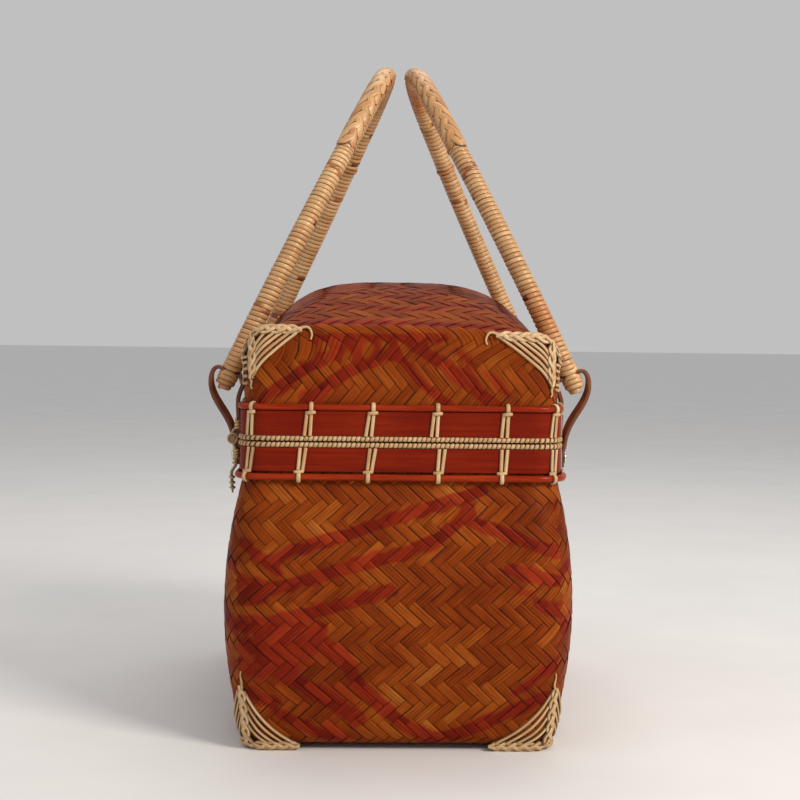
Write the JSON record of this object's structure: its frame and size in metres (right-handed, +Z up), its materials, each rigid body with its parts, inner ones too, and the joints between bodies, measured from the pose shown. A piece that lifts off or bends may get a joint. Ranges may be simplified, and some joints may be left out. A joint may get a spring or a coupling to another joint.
{
  "type": "woven bamboo bag",
  "caption": "Woven bamboo bag with a domed hinged lid, a pair of arched rattan-wrapped carry handles on leather straps, and plaited corner guards to stand on.",
  "frame": {"origin": "middle of the footprint, on the plane the bag stands on", "axes": "+Z up; X across the narrow ends, +X away from the lid's hinges; Y along the bag, -Y the end seen first"},
  "size_m": [0.2026, 0.2674, 0.365],
  "materials": {
    "woven_bamboo": "satin varnished strips, honey brown with red-dyed bands",
    "lacquered_band": "semi-gloss red-brown lacquer",
    "lacquered_rod": "glossy orange-red lacquer",
    "rattan": "satin natural rattan",
    "cane_core": "matt cane",
    "leather": "satin brown leather",
    "rivet": "bright metal"
  },
  "bodies": {
    "body": {"body_weave": "woven_bamboo", "body_outer_band": "lacquered_band", "body_inner_band": "lacquered_band", "body_lower_rod": "lacquered_rod", "body_rim_core": "cane_core", "body_rim_coil": "rattan", "body_band_ties": "rattan", "base_guard_front_left": "rattan", "base_guard_front_right": "rattan", "base_guard_rear_left": "rattan", "base_guard_rear_right": "rattan", "hinge_core_front": "cane_core", "hinge_core_rear": "cane_core", "hinge_body_loop_front": "rattan", "hinge_body_loop_rear": "rattan", "strap_left_front": "leather", "strap_left_rear": "leather", "strap_right_front": "leather", "strap_right_rear": "leather", "rivet_left_front": "rivet", "rivet_left_rear": "rivet", "rivet_right_front": "rivet", "rivet_right_rear": "rivet"},
    "lid": {"lid_weave": "woven_bamboo", "lid_outer_band": "lacquered_band", "lid_inner_band": "lacquered_band", "lid_upper_rod": "lacquered_rod", "lid_rim_core": "cane_core", "lid_rim_coil": "rattan", "lid_band_ties": "rattan", "lid_guard_front_left": "rattan", "lid_guard_front_right": "rattan", "lid_guard_rear_left": "rattan", "lid_guard_rear_right": "rattan", "hinge_lid_loop_front": "rattan", "hinge_lid_loop_rear": "rattan"},
    "handle_left": {"handle_core_left": "cane_core", "handle_wrap_left": "rattan", "handle_plait_left": "rattan"},
    "handle_right": {"handle_core_right": "cane_core", "handle_wrap_right": "rattan", "handle_plait_right": "rattan"}
  },
  "joints": [
    {"name": "lid_hinge", "type": "hinge", "parent": "body", "child": "lid", "pos_m": [-0.086, 0, 0.1573], "axis": [0, -1, 0], "range_deg": [0, 100]},
    {"name": "handle_left_swing", "type": "hinge", "parent": "body", "child": "handle_left", "pos_m": [-0.085, 0, 0.149], "axis": [0, -1, 0], "range_deg": [0, 145], "deforming": ["strap_left_front", "strap_left_rear"]},
    {"name": "handle_right_swing", "type": "hinge", "parent": "body", "child": "handle_right", "pos_m": [0.085, 0, 0.149], "axis": [0, 1, 0], "range_deg": [0, 145], "deforming": ["strap_right_front", "strap_right_rear"]}
  ],
  "couplings": [
    {"joint": "handle_left_swing", "follows": "lid_hinge", "ratio": 1.45},
    {"joint": "handle_right_swing", "follows": "lid_hinge", "ratio": 1.45}
  ]
}
